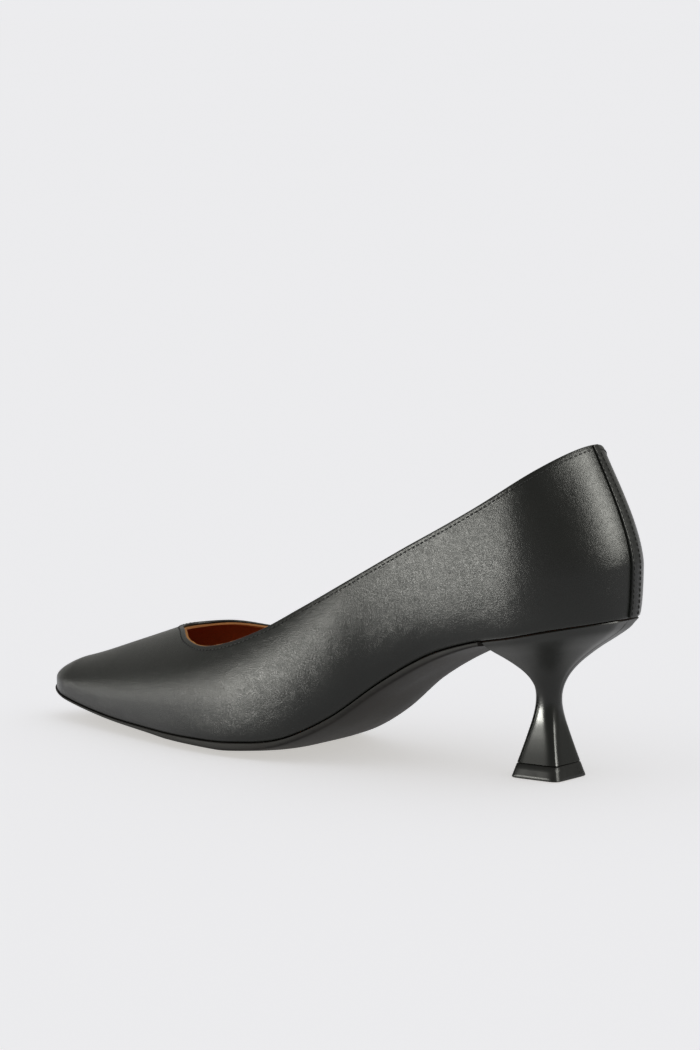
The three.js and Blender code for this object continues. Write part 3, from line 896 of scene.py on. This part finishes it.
class SHOE_OT_add_stitches(bpy.types.Operator):
    """Row of stitches below the top edge, and one down each side of the back strip"""
    bl_idname = "shoe.add_stitches"
    bl_label = "Add stitches"

    def execute(self, context):
        s = sizes()
        c = colours()
        thread = leather("Thread", c.thread, tuple(1.6 * v for v in c.thread), (0.5, 0.6), cells=4000.0)
        outer, tangent, up, normal = top_edge(s.stitch_pitch / MM)
        tree = surface_of("upper_leather")
        points = []
        normals = []
        directions = []
        for p, t, u, n in zip(outer, tangent, up, normal):
            if p[0] < 22 and abs(p[1]) < STRIP_WIDTH / 2 + 0.4:
                continue
            start = Vector((p - u * s.stitch_inset / MM + n * 0.3 - [HEEL_SET, 0, 0]) * MM)
            found, face_normal, _, _ = tree.find_nearest(start)
            facing = Vector(face_normal)
            if facing.dot(Vector(n)) < 0:
                facing = -facing
            points.append(found + facing * s.thread * THREAD_PROUD)
            normals.append(facing)
            directions.append(t)
        stitch_run("top_edge_stitches", points, normals, directions, thread, "upper")
        rows = strip_stitch_lines(s.stitch_pitch / MM)
        tree = surface_of("back_strip_leather")
        points = []
        normals = []
        directions = []
        for line in rows:
            for at, along in line:
                start = Vector((at - np.array([HEEL_SET, 0, 0])) * MM)
                found, face_normal, _, _ = tree.find_nearest(start)
                points.append(found + face_normal * s.thread * THREAD_PROUD)
                normals.append(face_normal)
                directions.append(along)
        stitch_run("back_strip_stitches", points, normals, directions, thread, "back_strip")
        return {"FINISHED"}


def strip_ribs(share):
    """Rib at a share of the strip's half width, negative to the inner side."""
    half = math.asin(STRIP_WIDTH / 2 / (float(last("outer", 0)) * BALL_WIDTH))
    side = -1 if share < 0 else 1
    return Ribs(side, np.array([BACK_ROUND * (1 - math.cos(half * abs(share)))]))


def strip_stitch_lines(pitch):
    lines = []
    for share in (-0.74, 0.74):
        ribs = strip_ribs(share)
        top = float(top_turn(ribs)[0])
        turns = np.linspace(STRIP_END + 0.08, top - 0.02, 400)
        path = side_points(ribs, turns, -GAP - STRIP)
        length = run_length(path)
        spots = points_at(path, length, np.arange(pitch / 2, length[-1], pitch))
        lines.append([(spot, step) for spot, step in zip(spots, np.gradient(spots, axis=0))])
    return lines


class SHOE_OT_add_back_strip(bpy.types.Operator):
    """Narrow strip over the back seam, with turned edges"""
    bl_idname = "shoe.add_back_strip"
    bl_label = "Add back strip"

    def execute(self, context):
        rows = 84
        profile = [(1.0, 0.0), (1.0, 0.5), (0.985, 0.8), (0.93, 0.97), (0.84, 1.0)]
        section = [(-x, h) for x, h in profile]
        section += [(x, 1.0) for x in np.linspace(-0.7, 0.7, 9)]
        section += profile[::-1]
        section += [(x, 0.0) for x in np.linspace(0.7, -0.7, 7)]
        grid = []
        for share, height in section:
            ribs = strip_ribs(share)
            top = float(top_turn(ribs)[0])
            turns = np.linspace(STRIP_END, top, rows)
            grid.append(side_points(ribs, turns, -GAP - STRIP * height + (GAP * 0.8 if height == 0 else 0)))
        grid = np.array(grid)
        grid = np.concatenate([grid, grid[:1]])
        skin = Skin()
        skin.sheet(grid)
        for row in (0, -1):
            ring = grid[:, row]
            skin.sheet(np.stack([ring, np.repeat(ring.mean(0)[None], len(ring), 0)], 1))
        mesh = skin.build("back_strip_leather", [black_leather()])
        place("back_strip_leather", mesh, "back_strip", "back_strip")
        return {"FINISHED"}


# Rows of the sock lining that belong to its upper face
INSOLE_TOP_ROWS = 7


class SHOE_OT_add_insole(bpy.types.Operator):
    """Sock lining inside the shoe"""
    bl_idname = "shoe.add_insole"
    bl_label = "Add insole"

    def execute(self, context):
        places = rib_places(*SOCK_RIBS)
        skin = Skin()
        for side in (1, -1):
            ribs = Ribs(side, places)
            edge = ribs.width - WALL - GAP
            rows = []
            section = [(share, 0.0, INSOLE) for share in (0, 0.25, 0.5, 0.75, 0.9)]
            section += [(1, -0.8, INSOLE), (1, -0.3, INSOLE - 0.12), (1, 0, INSOLE - 0.6), (1, 0, 0.0)]
            section += [(share, 0.0, 0.0) for share in (0.9, 0.6, 0.3, 0)]
            for share, offset, height in section:
                x, y = ribs.plan(edge * share + offset)
                rows.append(np.stack([x, y, bed(x, y) + height], -1))
            skin.sheet(np.stack(rows[:INSOLE_TOP_ROWS], 1))
            skin.sheet(np.stack(rows[INSOLE_TOP_ROWS - 1:], 1), 1)
        mesh = skin.build("sock_lining", [lining_leather(), black_leather()])
        place("sock_lining", mesh, "insole", "insole")
        return {"FINISHED"}


class SHOE_OT_add_outsole(bpy.types.Operator):
    """Outsole with a trimmed edge and a rounded waist"""
    bl_idname = "shoe.add_outsole"
    bl_label = "Add outsole"

    def execute(self, context):
        c = colours()
        start = (BREAST + GAP) / LENGTH
        places = rib_places(*SOLE_RIBS)
        places = np.concatenate([[start], places[places > start + 0.004]])
        under_shares = np.concatenate([[1], np.linspace(0.97, TREAD_FLAT, 9), [0.3, 0.15, 0]])

        def under(x, y, share):
            along = x / LENGTH
            middle = np.maximum(bed(x, y) - GAP - SOLE * last("sole", along), 0)
            turn = max(share - TREAD_FLAT, 0) / (1 - TREAD_FLAT)
            return middle + SOLE * last("lift", along) * turn ** 2

        skin = Skin()
        for side in (1, -1):
            ribs = Ribs(side, places)
            edge = ribs.width + SOLE_LIP
            rows = []
            for share in (0, 0.3, 0.6, 0.85):
                x, y = ribs.plan(edge * share)
                rows.append(np.stack([x, y, bed(x, y) - GAP], -1))
            x, y = ribs.plan(edge)
            high = bed(x, y) - GAP
            low = under(x, y, 1)
            deep = high - low
            for offset, share in ((-0.45, 0), (-0.12, 0.03), (0, 0.12), (0.04, 0.3), (0.04, 0.55), (0, 0.76),
                                  (-0.15, 0.92)):
                x, y = ribs.plan(edge + offset)
                rows.append(np.stack([x, y, high - deep * share], -1))
            for share in under_shares:
                x, y = ribs.plan(edge * share - (0.45 if share == 1 else 0))
                rows.append(np.stack([x, y, under(x, y, share)], -1))
            grid = np.stack(rows, 1)
            skin.sheet(grid)
            middle = grid[0].copy()
            middle[:, 1] = grid[0, 0, 1]
            middle[:, 2] = (grid[0, 0, 2] + grid[0, -1, 2]) / 2
            skin.sheet([grid[0], middle])
        mesh = skin.build("outsole_trimmed", [brushed("Sole", c.sole_dark, c.sole_light, (0.55, 0.7))])
        place("outsole_trimmed", mesh, "outsole", "outsole")
        return {"FINISHED"}


class SHOE_OT_add_heel(bpy.types.Operator):
    """Covered heel with its back seam, and the tip under it"""
    bl_idname = "shoe.add_heel"
    bl_label = "Add heel"

    def execute(self, context):
        c = colours()
        angles, reach = heel_outline(84)
        foot = 1 - (TIP_HEIGHT + GAP) / HEEL_LEVEL
        rings = []
        for share in (0, 0.4, 0.8):
            x = HEEL_SET + np.cos(angles) * reach * share
            y = np.sin(angles) * reach * share
            rings.append(np.stack([x, y, bed(x, y) - GAP], -1))
        top = heel_ring(angles, reach, 0)
        centre = np.array([HEEL_SET, 0, 0])
        for offset, sink in ((-0.7, 0.0), (-0.25, 0.12), (0.0, 0.5)):
            ring = top.copy()
            ring[:, :2] = centre[:2] + (top[:, :2] - centre[:2]) * (1 + offset / reach)[:, None]
            ring[:, 2] -= sink
            rings.append(ring)
        drops = np.linspace(0, foot, 64)[2:]
        seam = -SEAM_DEPTH * np.exp(-((angles - math.pi) / SEAM_WIDTH) ** 2)
        for drop in drops:
            ring = heel_ring(angles, reach, drop)
            out = ring[:, :2] - centre[:2]
            length = np.linalg.norm(out, axis=1, keepdims=True)
            fade = np.clip((SEAM_END - drop) / SEAM_FADE, 0, 1)
            ring[:, :2] += out / length * seam[:, None] * fade
            rings.append(ring)
        ring = rings[-1].copy()
        ring[:, :2] += (centre[:2] - ring[:, :2]) * 0.03
        ring[:, 2] -= 0.12
        rings.append(ring)
        rings.append(np.repeat(np.array([[HEEL_SET, 0, rings[-1][0, 2]]]), len(angles), 0))
        skin = Skin()
        skin.sheet(np.array(rings), close=True)
        finish = heel_finish("Heel cover", c.leather_dark, c.leather_light, 0.36, 0.20)
        place("heel_cover", skin.build("heel_cover", [finish], HEEL_SHARP), "heel", "heel")
        heights = [TIP_HEIGHT, TIP_HEIGHT, TIP_HEIGHT - 0.25, TIP_HEIGHT * 0.6, TIP_HEIGHT * 0.25, 0.3, 0.0,
                   0.0]
        scales = [0.0, 0.975, 1.0, 1.0, 1.0, 1.0, 0.98, 0.0]
        rings = []
        for height, scale in zip(heights, scales):
            ring = heel_ring(angles, reach, 1 - height / HEEL_LEVEL)
            ring[:, :2] = centre[:2] + (ring[:, :2] - centre[:2]) * scale
            rings.append(ring)
        skin = Skin()
        skin.sheet(np.array(rings), close=True)
        rubber = brushed("Tip", tuple(0.7 * v for v in c.tip), c.tip, (0.26, 0.36), (300.0, 300.0, 300.0))
        mesh = skin.build("heel_tip_cap", [rubber], HEEL_SHARP)
        place("heel_tip_cap", mesh, "heel_tip", "heel_tip")
        return {"FINISHED"}


# The floor lies this far below the sole, so that the two never share a face
FLOOR_LEVEL = -0.0002

# Soft lamps: name, azimuth, elevation, distance, width, height, power
LAMPS = [
    ("quarter_lamp", 55.0, -1.0, 1.2, 0.34, 0.20, 16.0),
    ("vamp_lamp", 23.0, -1.0, 1.2, 0.24, 0.20, 3.0),
    ("heel_side_lamp", -172.0, 30.0, 1.2, 0.75, 0.55, 23.0),
    ("overhead_lamp", -85.0, 60.0, 1.4, 1.20, 0.60, 5.0),
]


def soft_lamp(name, azimuth, elevation, distance, width, height, power, colour):
    """Lamp that shows in the leather as a soft light, turned to the shoe."""
    light = bpy.data.lights.new(name, "AREA")
    light.shape = "RECTANGLE"
    light.size = width
    light.size_y = height
    light.energy = power
    light.color = colour
    lamp = bpy.data.objects.new(name, light)
    bpy.context.scene.collection.objects.link(lamp)
    turn = math.radians(azimuth)
    rise = math.radians(elevation)
    away = Vector((math.cos(turn) * math.cos(rise), math.sin(turn) * math.cos(rise), math.sin(rise)))
    lamp.location = Vector(CAMERA_AIM) + away * distance
    lamp.rotation_euler = (-away).to_track_quat("-Z", "Y").to_euler()
    lamp.visible_camera = False
    lamp.visible_diffuse = False
    return lamp


def studio_world(c):
    """Even light all round, with the backdrop's colour where the camera looks past the floor."""
    world = bpy.data.worlds.new("studio")
    world.use_nodes = True
    tree = world.node_tree
    path = tree.nodes.new("ShaderNodeLightPath")
    mix = add(tree, "ShaderNodeMix", data_type="RGBA")
    mix.inputs[6].default_value = (*c.surroundings, 1)
    mix.inputs[7].default_value = (*c.backdrop, 1)
    tree.links.new(path.outputs["Is Camera Ray"], mix.inputs[0])
    tree.links.new(mix.outputs[2], tree.nodes["Background"].inputs["Color"])
    return world


class SHOE_OT_add_stage(bpy.types.Operator):
    """Floor, soft lights and the camera"""
    bl_idname = "shoe.add_stage"
    bl_label = "Add stage"

    def execute(self, context):
        scene = context.scene
        c = colours()
        mesh = bpy.data.meshes.new("floor")
        reach = 30.0
        corners = [(-reach, -reach, FLOOR_LEVEL), (reach, -reach, FLOOR_LEVEL), (reach, reach, FLOOR_LEVEL),
                   (-reach, reach, FLOOR_LEVEL)]
        mesh.from_pydata(corners, [], [(0, 1, 2, 3)])
        mesh.materials.append(plain_floor("Pale floor", c.floor, c.floor_glow))
        floor = bpy.data.objects.new("floor", mesh)
        scene.collection.objects.link(floor)
        scene.world = studio_world(c)
        for lamp in LAMPS:
            soft_lamp(*lamp, c.lamp)
        azimuth = math.radians(CAMERA_AZIMUTH)
        elevation = math.radians(CAMERA_ELEVATION)
        direction = Vector((math.sin(azimuth) * math.cos(elevation), -math.cos(azimuth) * math.cos(elevation),
                            math.sin(elevation)))
        lens = bpy.data.cameras.new("camera")
        lens.lens = CAMERA_LENS
        lens.sensor_width = 36
        lens.clip_end = 200
        camera = bpy.data.objects.new("camera", lens)
        scene.collection.objects.link(camera)
        camera.location = Vector(CAMERA_AIM) + direction * CAMERA_DISTANCE
        camera.rotation_euler = (-direction).to_track_quat("-Z", "Y").to_euler()
        scene.camera = camera
        scene.view_settings.view_transform = "Standard"
        return {"FINISHED"}


class SHOE_PT_panel(bpy.types.Panel):
    """Steps and settings of the shoe"""
    bl_label = "Shoe"
    bl_idname = "SHOE_PT_panel"
    bl_space_type = "VIEW_3D"
    bl_region_type = "UI"
    bl_category = "Shoe"

    def draw(self, context):
        layout = self.layout
        for step in STEPS:
            layout.operator(step.bl_idname)
        for settings in (context.scene.shoe_sizes, context.scene.shoe_colours):
            for name in settings.__annotations__:
                layout.prop(settings, name)


STEPS = (SHOE_OT_add_upper, SHOE_OT_add_lining, SHOE_OT_add_back_strip, SHOE_OT_add_stitches,
         SHOE_OT_add_insole, SHOE_OT_add_outsole, SHOE_OT_add_heel, SHOE_OT_add_stage)
CLASSES = (ShoeSizes, ShoeColours, *STEPS, SHOE_PT_panel)


def register():
    for cls in CLASSES:
        bpy.utils.register_class(cls)
    bpy.types.Scene.shoe_sizes = PointerProperty(type=ShoeSizes)
    bpy.types.Scene.shoe_colours = PointerProperty(type=ShoeColours)


def unregister():
    del bpy.types.Scene.shoe_colours
    del bpy.types.Scene.shoe_sizes
    for cls in reversed(CLASSES):
        bpy.utils.unregister_class(cls)


def main():
    register()
    bpy.ops.shoe.add_upper()
    bpy.ops.shoe.add_lining()
    bpy.ops.shoe.add_back_strip()
    bpy.ops.shoe.add_stitches()
    bpy.ops.shoe.add_insole()
    bpy.ops.shoe.add_outsole()
    bpy.ops.shoe.add_heel()
    bpy.ops.shoe.add_stage()


if __name__ == "__main__":
    main()
